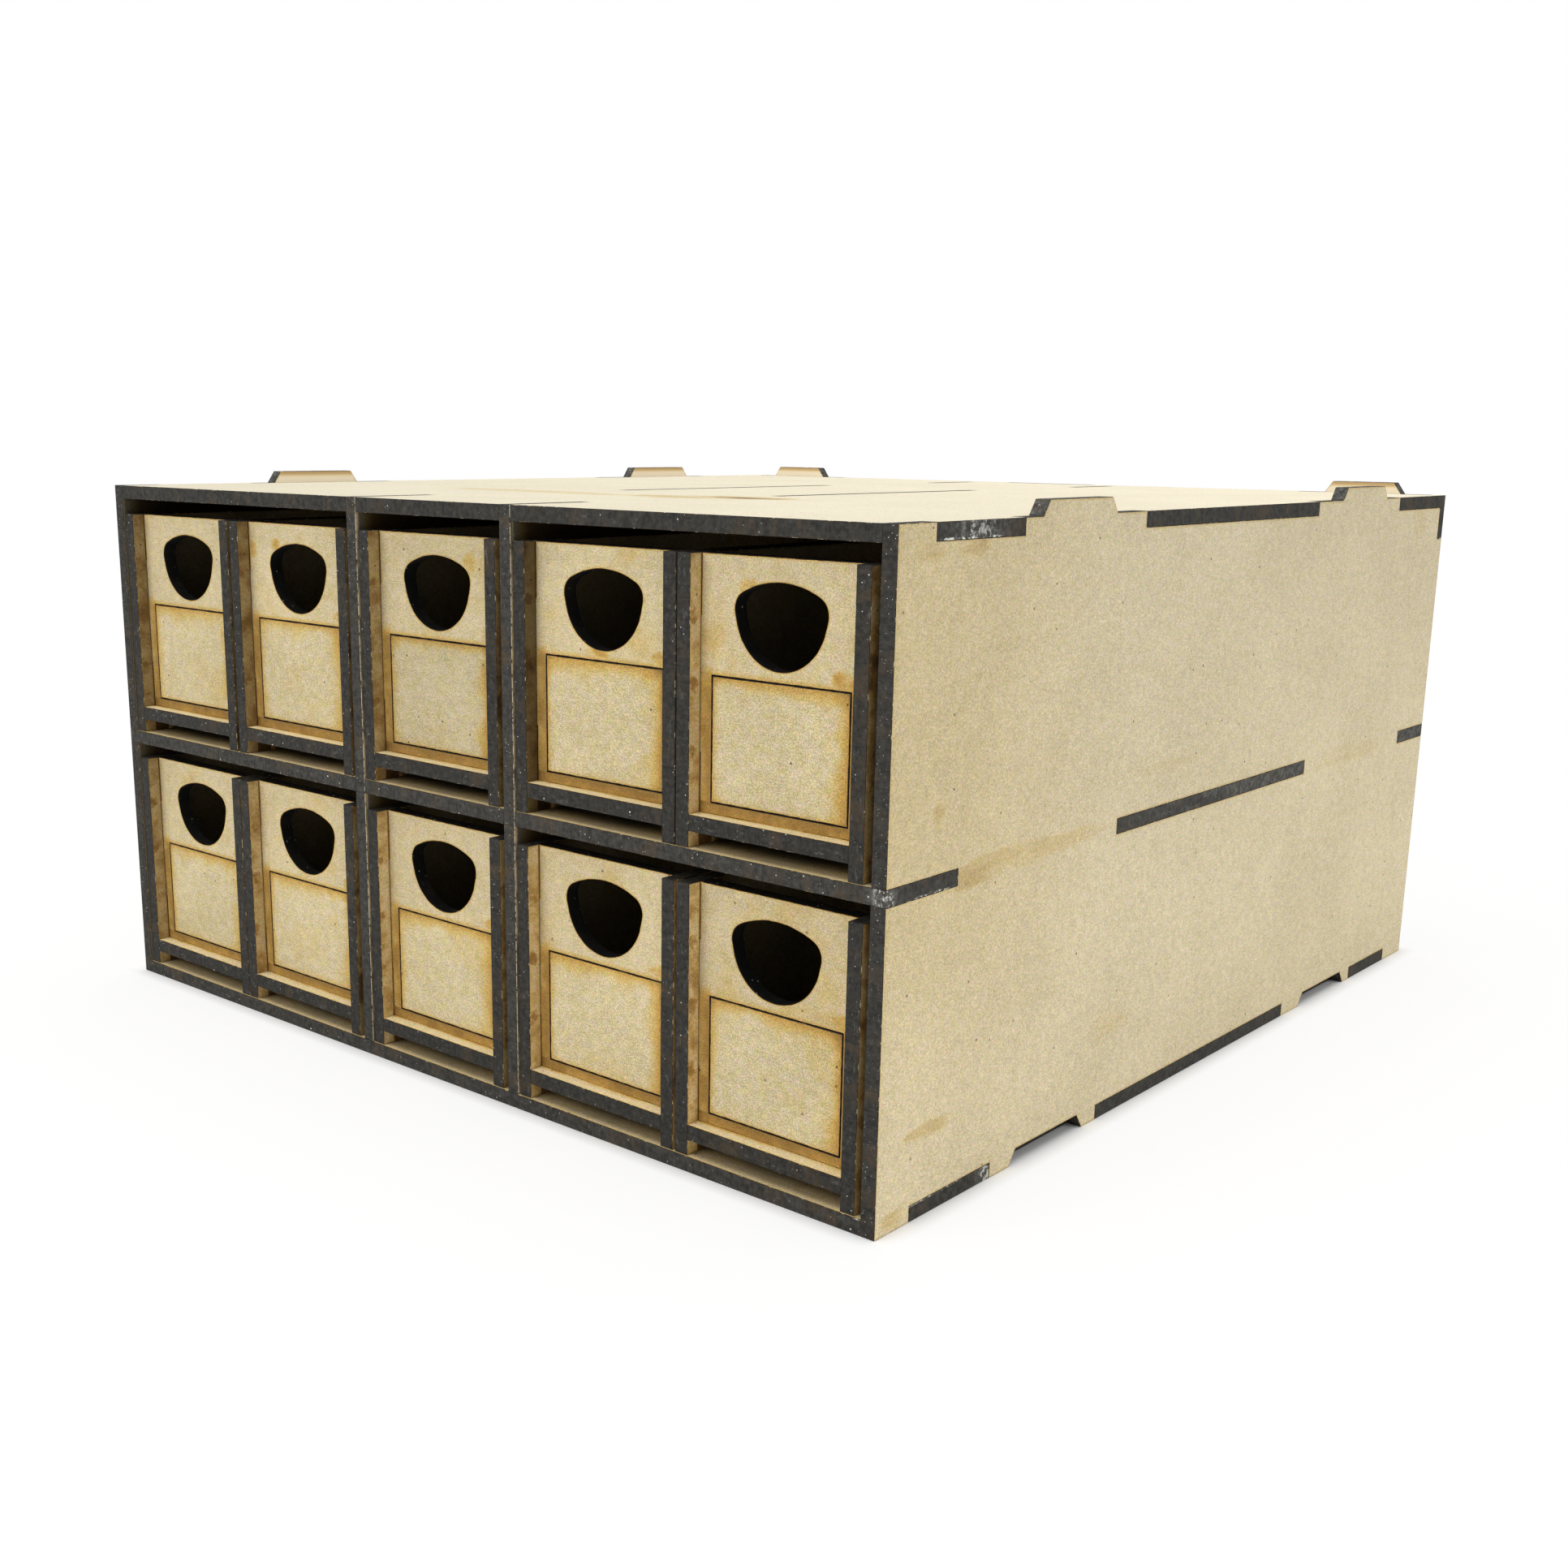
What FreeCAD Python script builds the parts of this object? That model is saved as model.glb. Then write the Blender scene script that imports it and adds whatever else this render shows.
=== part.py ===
import FreeCAD, Part
import math
import os

from FreeCAD import Vector

# Storage box for small game pieces: an open-fronted case of laser-cut sheet with two rows of
# five drawers. All sizes are in millimetres.
# While building, x runs from the left side, y from the front edge towards the back and z up from
# the surface that the box stands on. save() then moves the origin to the middle of the footprint.

# The sheet that every piece is cut from, and the play at both ends of a tab in its slot.
SHEET = 3.0
FIT = 0.1

# One drawer, outside.
DRAWER_WIDTH = 40.8
DRAWER_HEIGHT = 51.0
DRAWER_LENGTH = 230.7

# Room round the drawers. Two drawers share each outer bay and one stands in the middle bay. A
# drawer that is pushed home rests on the back panel, a little behind the case's front edge.
HEADROOM = 3.5
SINGLE_PLAY = 2.0
DOUBLE_PLAY = 2.5
HOME_INSET = 0.3

# The part of its bay's play that lies to the left of each drawer, from left to right.
UPPER_LEANS = (0.12, 0.39, 0.15, 0.12, 0.12)
LOWER_LEANS = (0.12, 0.12, 0.15, 0.12, 0.26)

# Inside a drawer: the raised floor, the set-back front and the tabs that hold them in the walls.
FLOOR_LIFT = 3.0
FRONT_SETBACK = 3.0
FLOOR_TAB = 30.0
FLOOR_TAB_INSET = 20.0
FOOT_TAB = 12.0
FRONT_CHEEK_TAB = 24.0
FRONT_CHEEK_DROP = 10.5
REAR_CHEEK_TAB = 24.0
REAR_CHEEK_DROP = 10.5

# The label plate in the drawer front: the sheet left round its window, and the cut round it.
LABEL_SILL = 2.0
LABEL_SIDE = 2.5
LABEL_LAND = 1.9
LABEL_KERF = 0.15

# The finger hole, a rounded triangle standing on its point.
HOLE_DROP = 4.2
HOLE_WIDTH = 19.7
HOLE_HEIGHT = 14.6
HOLE_CROWN_RADIUS = 18.0
HOLE_CORNER_RADIUS = 3.2
HOLE_POINT_RADIUS = 9.6

# Stacking tabs on the upper edges of the sides and the back, for the sockets of a box above.
STACK_HEIGHT = 2.8
STACK_SLANT = 2.0
STACK_SIDE_LENGTH = 25.6
STACK_BACK_LENGTH = 19.7
STACK_PLAY = 0.4
STACK_HEADROOM = 0.2

# Along the upper edge of a side: the top plate's tabs, and the sheet left between them and the
# stacking tabs.
TOP_FRONT_INSET = 10.5
TOP_FRONT_TAB = 26.0
FIRST_STACK_FRONT = 5.7
FIRST_STACK_BEHIND = 11.2
LAST_STACK_FRONT = 13.2
LAST_STACK_BEHIND = 8.2
TOP_REAR_EAR = 30.0

# Along the middle of a side: the shelf's ears and the sheet left between them and its middle tab.
SHELF_FRONT_EAR = 20.5
SHELF_FRONT_LAND = 54.5
SHELF_REAR_LAND = 56.5
SHELF_REAR_EAR = 16.5

# Along the lower edge of a side: the bottom plate's tabs, and the sheet left between them and the
# stacking sockets.
BASE_FRONT_INSET = 10.0
FIRST_SOCKET_FRONT = 6.8
FIRST_SOCKET_BEHIND = 5.3
LAST_SOCKET_FRONT = 9.8
LAST_SOCKET_BEHIND = 3.8
BASE_REAR_INSET = 12.0

# The back panel's ears, stacking tabs and slots for the plates.
BACK_EAR = 7.5
BACK_STACK_INSET = 7.0
PLATE_TAIL_INSET = 34.0
PLATE_TAIL_LAND = 28.0

# The dividers' tabs.
DIVIDER_EAR = 21.0
DIVIDER_REAR_INSET = 5.0
DIVIDER_FOOT = 25.0
DIVIDER_FOOT_INSET = 35.0
DIVIDER_TAIL = 16.0
DIVIDER_TAIL_RISE = 19.5

# Everything below follows from the values above.
DOUBLE_BAY = 2 * DRAWER_WIDTH + DOUBLE_PLAY
SINGLE_BAY = DRAWER_WIDTH + SINGLE_PLAY
BAY_HEIGHT = DRAWER_HEIGHT + HEADROOM
WIDTH = 4 * SHEET + 2 * DOUBLE_BAY + SINGLE_BAY
DEPTH = DRAWER_LENGTH + HOME_INSET + SHEET
HEIGHT = 3 * SHEET + 2 * BAY_HEIGHT
BACK_FACE = DEPTH - SHEET

# Undersides of the bottom plate, the shelf and the top plate.
BASE_DECK = 0.0
SHELF_DECK = BASE_DECK + SHEET + BAY_HEIGHT
TOP_DECK = SHELF_DECK + SHEET + BAY_HEIGHT

# Left faces of the two dividers in each row.
DIVIDERS = (SHEET + DOUBLE_BAY, 2 * SHEET + DOUBLE_BAY + SINGLE_BAY)

# How a sheet stands: the directions of its outline's u and v, and of its thickness.
LYING = (Vector(1, 0, 0), Vector(0, 1, 0), Vector(0, 0, 1))
FACING_FRONT = (Vector(1, 0, 0), Vector(0, 0, 1), Vector(0, 1, 0))
FACING_SIDE = (Vector(0, 1, 0), Vector(0, 0, 1), Vector(1, 0, 0))


# Drawing flat outlines and cutting sheets to them.

def spot(plane, u, v):
    return plane[0] * u + plane[1] * v


def polygon(plane, path):
    """A flat face inside a closed path, leaving out doubled points."""
    corners = [point for i, point in enumerate(path) if math.dist(point, path[i - 1]) > 1e-6]
    points = [spot(plane, u, v) for u, v in corners]
    return Part.Face(Part.makePolygon(points + points[:1]))


def rectangle(plane, u, v):
    return polygon(plane, [(u[0], v[0]), (u[1], v[0]), (u[1], v[1]), (u[0], v[1])])


def walk(start, end, level, outward, tabs):
    """Points along one edge of a sheet, out round each tab and back to the edge."""
    forward = end > start
    points = [(start, level)]
    for (low, high), reach, slant in sorted(tabs, reverse=not forward):
        tip = level + outward * reach
        round_tab = [(low, level), (low + slant, tip), (high - slant, tip), (high, level)]
        points += round_tab if forward else round_tab[::-1]
    return points


def outline(plane, u, v, below=(), right=(), above=(), left=()):
    """A rectangle with tabs on its four edges. Tabs are (span, reach, slant)."""
    path = walk(u[0], u[1], v[0], -1, below)
    path += [(a, b) for b, a in walk(v[0], v[1], u[1], 1, right)]
    path += walk(u[1], u[0], v[1], 1, above)
    path += [(a, b) for b, a in walk(v[1], v[0], u[0], -1, left)]
    return polygon(plane, path)


def cut_sheet(plane, at, face, slots=()):
    """The sheet inside an outline, with slots cut through, and its near face at the given place."""
    if slots:
        face = face.cut(list(slots))
    pieces = [part.extrude(plane[2] * SHEET) for part in face.Faces]
    sheet = pieces[0] if len(pieces) == 1 else Part.makeCompound(pieces)
    sheet.translate(plane[2] * at)
    return sheet.removeSplitter()


def square_tabs(spans):
    """Tabs that reach through the thickness of one sheet."""
    return [(span, SHEET, 0.0) for span in spans]


def stack_tabs(spans):
    return [(span, STACK_HEIGHT, STACK_SLANT) for span in spans]


def stack_sockets(plane, spans):
    """Recesses in a lower edge that take the stacking tabs of a box below, with play all round."""
    depth = STACK_HEIGHT + STACK_HEADROOM
    slant = STACK_SLANT * depth / STACK_HEIGHT
    sockets = []
    for low, high in spans:
        low = low - STACK_PLAY
        high = high + STACK_PLAY
        sockets.append(polygon(plane, [(low, 0.0), (high, 0.0), (high - slant, depth), (low + slant, depth)]))
    return sockets


def thick(at):
    """The limits of a sheet whose near face is at the given place."""
    return at, at + SHEET


def roomy(span, end):
    """The slot for a tab: the fit at both ends, and open where the tab reaches the sheet's edge."""
    low, high = span
    low = low - FIT if low > 0 else -SHEET
    high = high + FIT if high < end else end + SHEET
    return low, high


def mirrored(span):
    """The same span counted from the right side of the case."""
    return WIDTH - span[1], WIDTH - span[0]


def save(name, shape):
    shape = shape.copy()
    shape.translate(Vector(-WIDTH / 2, -DEPTH / 2, 0))
    shape.exportStep(os.path.join("parts", name + ".step"))


# Where the joints of the case lie. Each span serves the tab on one piece and the slot in the other.

def top_spans():
    """The top plate's tabs in the sides, along y. The rear one reaches round the corner."""
    front = (TOP_FRONT_INSET, TOP_FRONT_INSET + TOP_FRONT_TAB)
    rear = (DEPTH - TOP_REAR_EAR, DEPTH)
    first, last = side_stack_spans()
    return front, (first[1] + FIRST_STACK_BEHIND, last[0] - LAST_STACK_FRONT), rear


def side_stack_spans():
    """Feet of the stacking tabs on a side, along y."""
    first = TOP_FRONT_INSET + TOP_FRONT_TAB + FIRST_STACK_FRONT
    last = DEPTH - TOP_REAR_EAR - LAST_STACK_BEHIND
    return (first, first + STACK_SIDE_LENGTH), (last - STACK_SIDE_LENGTH, last)


def shelf_spans():
    """The shelf's tabs in the sides, along y: an ear at each end and a long tab in the middle."""
    front = (0.0, SHELF_FRONT_EAR)
    rear = (DEPTH - SHELF_REAR_EAR, DEPTH)
    return front, (front[1] + SHELF_FRONT_LAND, rear[0] - SHELF_REAR_LAND), rear


def base_spans():
    """The bottom plate's tabs in the sides, along y: before, between and behind the sockets."""
    first, last = side_stack_spans()
    front = (BASE_FRONT_INSET, first[0] - STACK_PLAY - FIRST_SOCKET_FRONT)
    middle = (first[1] + STACK_PLAY + FIRST_SOCKET_BEHIND, last[0] - STACK_PLAY - LAST_SOCKET_FRONT)
    rear = (last[1] + STACK_PLAY + LAST_SOCKET_BEHIND, DEPTH - BASE_REAR_INSET)
    return front, middle, rear


def plate_tails():
    """The plates' tabs through the back panel, along x."""
    left = (SHEET + PLATE_TAIL_INSET, (WIDTH - PLATE_TAIL_LAND) / 2)
    return left, mirrored(left)


def back_stack_spans():
    left = (SHEET + BACK_STACK_INSET, SHEET + BACK_STACK_INSET + STACK_BACK_LENGTH)
    return left, mirrored(left)


def divider_tail(deck):
    """A divider's tab through the back panel, along z."""
    low = deck + SHEET + DIVIDER_TAIL_RISE
    return low, low + DIVIDER_TAIL


def upper_divider_ends():
    """An upper divider's front and rear tabs, in the top plate above and in the shelf below it."""
    rear = BACK_FACE - DIVIDER_REAR_INSET
    return (0.0, DIVIDER_EAR), (rear - DIVIDER_EAR, rear)


def divider_crest():
    """The long middle tab on top of each divider, in line with the top plate's middle tabs."""
    return top_spans()[1]


def lower_divider_feet():
    front = (DIVIDER_FOOT_INSET, DIVIDER_FOOT_INSET + DIVIDER_FOOT)
    rear = BACK_FACE - DIVIDER_FOOT_INSET
    return front, (rear - DIVIDER_FOOT, rear)


# The pieces of the case.

def side_panel(at):
    """One sheet past both rows, slotted for the three plates and the back panel's ear."""
    face = outline(FACING_SIDE, (0.0, DEPTH), (0.0, HEIGHT), above=stack_tabs(side_stack_spans()))
    slots = stack_sockets(FACING_SIDE, side_stack_spans())
    for deck, spans in ((BASE_DECK, base_spans()), (SHELF_DECK, shelf_spans()), (TOP_DECK, top_spans())):
        slots += [rectangle(FACING_SIDE, roomy(span, DEPTH), thick(deck)) for span in spans]
    slots.append(rectangle(FACING_SIDE, (BACK_FACE, DEPTH), (TOP_DECK - BACK_EAR - FIT, TOP_DECK)))
    return cut_sheet(FACING_SIDE, at, face, slots)


def plate(deck, spans, divider_spans):
    """A plate from side to side with tabs out through them and through the back panel."""
    sides = square_tabs(spans)
    tails = square_tabs(plate_tails())
    face = outline(LYING, (SHEET, WIDTH - SHEET), (0.0, BACK_FACE), right=sides, above=tails, left=sides)
    slots = []
    for left in DIVIDERS:
        slots += [rectangle(LYING, thick(left), roomy(span, BACK_FACE)) for span in divider_spans]
    return cut_sheet(LYING, deck, face, slots)


def bottom_panel():
    return plate(BASE_DECK, base_spans(), lower_divider_feet())


def middle_shelf():
    """Feet of the upper dividers and crests of the lower ones take turns along its slots."""
    return plate(SHELF_DECK, shelf_spans(), upper_divider_ends() + (divider_crest(),))


def top_panel():
    return plate(TOP_DECK, top_spans(), upper_divider_ends() + (divider_crest(),))


def back_panel():
    """Stands between the sides, with an ear out through each under the top plate's corner."""
    ears = square_tabs([(TOP_DECK - BACK_EAR, TOP_DECK)])
    crests = stack_tabs(back_stack_spans())
    face = outline(FACING_FRONT, (SHEET, WIDTH - SHEET), (0.0, HEIGHT), right=ears, above=crests, left=ears)
    slots = stack_sockets(FACING_FRONT, back_stack_spans())
    for deck in (BASE_DECK, SHELF_DECK, TOP_DECK):
        slots += [rectangle(FACING_FRONT, roomy(span, WIDTH), thick(deck)) for span in plate_tails()]
    for left in DIVIDERS:
        for deck in (BASE_DECK, SHELF_DECK):
            slots.append(rectangle(FACING_FRONT, thick(left), roomy(divider_tail(deck), HEIGHT)))
    return cut_sheet(FACING_FRONT, BACK_FACE, face, slots)


def divider(left, deck, crests, feet):
    """A wall between two bays of one row, tabbed into the plates above and below and the back."""
    floor = deck + SHEET
    tail = square_tabs([divider_tail(deck)])
    face = outline(
        FACING_SIDE,
        (0.0, BACK_FACE),
        (floor, floor + BAY_HEIGHT),
        below=square_tabs(feet),
        right=tail,
        above=square_tabs(crests),
    )
    return cut_sheet(FACING_SIDE, left, face)


def case_pieces():
    ends = upper_divider_ends()
    crest = (divider_crest(),)
    pieces = {
        "side_left": side_panel(0.0),
        "side_right": side_panel(WIDTH - SHEET),
        "top_panel": top_panel(),
        "middle_shelf": middle_shelf(),
        "bottom_panel": bottom_panel(),
        "back_panel": back_panel(),
    }
    for name, left in zip(("left", "right"), DIVIDERS):
        pieces["divider_upper_" + name] = divider(left, SHELF_DECK, ends + crest, ends)
        pieces["divider_lower_" + name] = divider(left, BASE_DECK, crest, lower_divider_feet())
    return pieces


# One drawer, with its left front lower corner at the origin.

INSIDE = (SHEET, DRAWER_WIDTH - SHEET)
FLOOR_TOP = FLOOR_LIFT + SHEET
REAR_FACE = DRAWER_LENGTH - SHEET


def floor_spans():
    """The floor's tabs in the walls, along y."""
    rear = DRAWER_LENGTH - FLOOR_TAB_INSET
    return (FLOOR_TAB_INSET, FLOOR_TAB_INSET + FLOOR_TAB), (rear - FLOOR_TAB, rear)


def front_cheek():
    """The front's tabs in the walls, along z."""
    high = DRAWER_HEIGHT - FRONT_CHEEK_DROP
    return high - FRONT_CHEEK_TAB, high


def rear_cheek():
    """The rear's tabs in the walls, along z."""
    high = DRAWER_HEIGHT - REAR_CHEEK_DROP
    return high - REAR_CHEEK_TAB, high


def foot_span():
    """The tabs of the front and the rear in the floor, along x."""
    return (DRAWER_WIDTH - FOOT_TAB) / 2, (DRAWER_WIDTH + FOOT_TAB) / 2


def drawer_walls():
    """Two walls, on whose lower edges the drawer slides."""
    face = outline(FACING_SIDE, (0.0, DRAWER_LENGTH), (0.0, DRAWER_HEIGHT))
    floor = (FLOOR_LIFT, FLOOR_TOP)
    slots = [rectangle(FACING_SIDE, roomy(span, DRAWER_LENGTH), floor) for span in floor_spans()]
    slots.append(rectangle(FACING_SIDE, thick(FRONT_SETBACK), roomy(front_cheek(), DRAWER_HEIGHT)))
    slots.append(rectangle(FACING_SIDE, thick(REAR_FACE), roomy(rear_cheek(), DRAWER_HEIGHT)))
    return Part.makeCompound([cut_sheet(FACING_SIDE, left, face, slots) for left in (0.0, INSIDE[1])])


def drawer_floor():
    """The floor, held above the shelf by its tabs in the walls."""
    sides = square_tabs(floor_spans())
    face = outline(LYING, INSIDE, (0.0, DRAWER_LENGTH), right=sides, left=sides)
    foot = roomy(foot_span(), DRAWER_WIDTH)
    slots = [rectangle(LYING, foot, thick(y)) for y in (FRONT_SETBACK, REAR_FACE)]
    return cut_sheet(LYING, FLOOR_LIFT, face, slots)


def upright(y, cheek, slots=()):
    """A sheet across the drawer, with a tab in each wall and one in the floor."""
    cheeks = square_tabs([cheek])
    foot = square_tabs([foot_span()])
    face = outline(FACING_FRONT, INSIDE, (FLOOR_TOP, DRAWER_HEIGHT), below=foot, right=cheeks, left=cheeks)
    return cut_sheet(FACING_FRONT, y, face, slots)


def label_window(kerf):
    """The window between the floor, the walls and the finger hole, less a cut all round."""
    x = (INSIDE[0] + LABEL_SIDE + kerf, INSIDE[1] - LABEL_SIDE - kerf)
    z = (FLOOR_TOP + LABEL_SILL + kerf, DRAWER_HEIGHT - HOLE_DROP - HOLE_HEIGHT - LABEL_LAND - kerf)
    return rectangle(FACING_FRONT, x, z)


def finger_hole():
    """Rounded triangle: a wide crown, two tight corners and a round point, every arc tangent."""
    middle = DRAWER_WIDTH / 2
    top = DRAWER_HEIGHT - HOLE_DROP
    crown_radius = max(HOLE_CROWN_RADIUS, 0.52 * HOLE_WIDTH)
    corner_radius = min(HOLE_CORNER_RADIUS, HOLE_HEIGHT / 4, HOLE_WIDTH / 4)
    point_radius = min(HOLE_POINT_RADIUS, 0.98 * HOLE_WIDTH / 2)

    reach = HOLE_WIDTH / 2 - corner_radius
    rise = math.sqrt((crown_radius - corner_radius) ** 2 - reach ** 2)
    crown = (middle, top - crown_radius)
    corner = (middle + reach, crown[1] + rise)
    point = (middle, top - HOLE_HEIGHT + point_radius)
    across = corner[0] - point[0]
    along = corner[1] - point[1]
    shoulder = math.atan2(rise, reach)
    lean = math.acos((point_radius - corner_radius) / math.hypot(across, along))
    flank = math.atan2(along, across) - lean

    def on_circle(centre, radius, angle):
        u = centre[0] + radius * math.cos(angle)
        return spot(FACING_FRONT, u, centre[1] + radius * math.sin(angle))

    def opposite(place):
        return Vector(DRAWER_WIDTH - place.x, place.y, place.z)

    crown_end = on_circle(crown, crown_radius, shoulder)
    corner_middle = on_circle(corner, corner_radius, (shoulder + flank) / 2)
    corner_end = on_circle(corner, corner_radius, flank)
    point_start = on_circle(point, point_radius, flank)
    edges = [
        Part.Arc(opposite(crown_end), spot(FACING_FRONT, middle, top), crown_end).toShape(),
        Part.Arc(crown_end, corner_middle, corner_end).toShape(),
        Part.makeLine(corner_end, point_start),
        Part.Arc(point_start, spot(FACING_FRONT, middle, top - HOLE_HEIGHT), opposite(point_start)).toShape(),
        Part.makeLine(opposite(point_start), opposite(corner_end)),
        Part.Arc(opposite(corner_end), opposite(corner_middle), opposite(crown_end)).toShape(),
    ]
    return Part.Face(Part.Wire(edges))


def drawer_front():
    return upright(FRONT_SETBACK, front_cheek(), [finger_hole(), label_window(0.0)])


def drawer_label():
    """The plate that is cut out of the front and set back into its window."""
    return cut_sheet(FACING_FRONT, FRONT_SETBACK, label_window(LABEL_KERF))


def drawer_pieces():
    return {
        "front": drawer_front(),
        "label": drawer_label(),
        "walls": drawer_walls(),
        "rear": upright(REAR_FACE, rear_cheek()),
        "floor": drawer_floor(),
    }


def drawer_lefts(leans):
    """Left faces of a row's drawers. The drawers of an outer bay stand side by side."""
    gaps = [lean * DOUBLE_PLAY for lean in leans]
    first = SHEET + gaps[0]
    second = first + DRAWER_WIDTH + gaps[1]
    third = DIVIDERS[0] + SHEET + leans[2] * SINGLE_PLAY
    fourth = DIVIDERS[1] + SHEET + gaps[3]
    fifth = fourth + DRAWER_WIDTH + gaps[4]
    return first, second, third, fourth, fifth


os.makedirs("parts", exist_ok=True)

for name, shape in case_pieces().items():
    save(name, shape)

for row, deck, leans in (("lower", BASE_DECK, LOWER_LEANS), ("upper", SHELF_DECK, UPPER_LEANS)):
    for column, left in enumerate(drawer_lefts(leans), 1):
        for piece, shape in drawer_pieces().items():
            shape.translate(Vector(left, HOME_INSET, deck + SHEET))
            save("drawer_%s_%d_%s" % (row, column, piece), shape)
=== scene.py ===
import math

import bmesh
import bpy
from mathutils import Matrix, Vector


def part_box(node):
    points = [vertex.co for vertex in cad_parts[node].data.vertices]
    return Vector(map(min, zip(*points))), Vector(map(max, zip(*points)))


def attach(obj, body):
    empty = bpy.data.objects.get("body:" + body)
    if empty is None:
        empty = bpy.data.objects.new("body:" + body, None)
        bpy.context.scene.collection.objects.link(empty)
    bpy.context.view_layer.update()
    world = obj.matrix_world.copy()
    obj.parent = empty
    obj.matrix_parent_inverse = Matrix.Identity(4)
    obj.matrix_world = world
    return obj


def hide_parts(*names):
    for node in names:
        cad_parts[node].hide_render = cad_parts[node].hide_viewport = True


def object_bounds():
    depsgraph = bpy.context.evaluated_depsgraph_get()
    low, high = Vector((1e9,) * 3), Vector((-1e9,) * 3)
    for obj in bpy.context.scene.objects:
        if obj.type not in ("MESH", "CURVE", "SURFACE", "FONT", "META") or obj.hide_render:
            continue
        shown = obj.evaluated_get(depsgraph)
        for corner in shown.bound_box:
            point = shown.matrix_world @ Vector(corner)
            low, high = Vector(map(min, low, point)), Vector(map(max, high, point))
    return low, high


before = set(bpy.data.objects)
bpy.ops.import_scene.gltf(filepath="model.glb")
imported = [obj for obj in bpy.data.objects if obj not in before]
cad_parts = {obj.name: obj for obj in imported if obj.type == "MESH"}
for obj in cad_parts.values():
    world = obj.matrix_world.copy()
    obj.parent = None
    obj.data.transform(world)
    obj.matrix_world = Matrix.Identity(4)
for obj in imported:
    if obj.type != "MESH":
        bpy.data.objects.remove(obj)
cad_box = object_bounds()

# The side panels are two 3 mm sheets of pale fibreboard, cut by laser. The cut edges are charred
# almost black, the faces keep the felted tan of the board, and a thin brown rim of burnt resin
# runs along each outline. The plates' tabs are glued in their slots.

MILLIMETRE = 0.001
WELD = 0.001 * MILLIMETRE
ARRIS = 0.08 * MILLIMETRE
RIM = 0.7 * MILLIMETRE
FLAT_JOIN = math.radians(0.2)
SOFT_JOIN = math.radians(20)
CORNER = math.radians(30)
FACING = 0.99
AXES = {"x": 0, "y": 1, "z": 2}


def cut_sheet(node, name, along, body, board, origin=Vector((0, 0, 0)), tone=0.0, slope=(0, 0, 0)):
    """A copy of a CAD sheet with its corners merged, its arrises eased and a burnt rim on both faces.

    Along is the axis that its thickness lies on, and origin the point that its places are measured from. The
    tone makes it paler or darker than the others, and the slope says how much that grows along x, y and z.
    """
    sheet = bmesh.new()
    sheet.from_mesh(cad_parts[node].data)
    bmesh.ops.remove_doubles(sheet, verts=sheet.verts, dist=WELD)
    bmesh.ops.dissolve_limit(sheet, angle_limit=FLAT_JOIN, verts=sheet.verts, edges=sheet.edges)
    bmesh.ops.bevel(
        sheet,
        geom=[edge for edge in sheet.edges if edge.calc_face_angle(0.0) > CORNER],
        offset=ARRIS,
        offset_type="OFFSET",
        affect="EDGES",
        segments=1,
        profile=0.5,
        material=-1,
        clamp_overlap=True,
    )
    sheet.normal_update()
    rim = sheet.verts.layers.float.new("rim")
    for vert in sheet.verts:
        vert[rim] = 1.0
    flat = [face for face in sheet.faces if abs(face.normal[AXES[along]]) > FACING]
    bmesh.ops.inset_region(
        sheet, faces=flat, thickness=RIM, use_even_offset=True, use_boundary=True
    )
    for face in flat:
        for vert in face.verts:
            vert[rim] = 0.0
    sheet.normal_update()
    for face in sheet.faces:
        face.smooth = True
    for edge in sheet.edges:
        edge.smooth = edge.calc_face_angle(0.0) < SOFT_JOIN
    mesh = bpy.data.meshes.new(name)
    sheet.to_mesh(mesh)
    sheet.free()

    places = [value for vert in mesh.vertices for value in (vert.co - origin) / MILLIMETRE]
    mesh.attributes.new("place", "FLOAT_VECTOR", "POINT").data.foreach_set("vector", places)
    low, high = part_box(node)
    rise = Vector([slope[axis] / (high[axis] - low[axis]) for axis in range(3)])
    tones = [tone + rise.dot(vert.co - low) for vert in mesh.vertices]
    mesh.attributes.new("tone", "FLOAT", "POINT").data.foreach_set("value", tones)
    mesh.materials.append(board)
    piece = bpy.data.objects.new(name, mesh)
    bpy.context.scene.collection.objects.link(piece)
    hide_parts(node)
    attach(piece, body)


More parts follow.
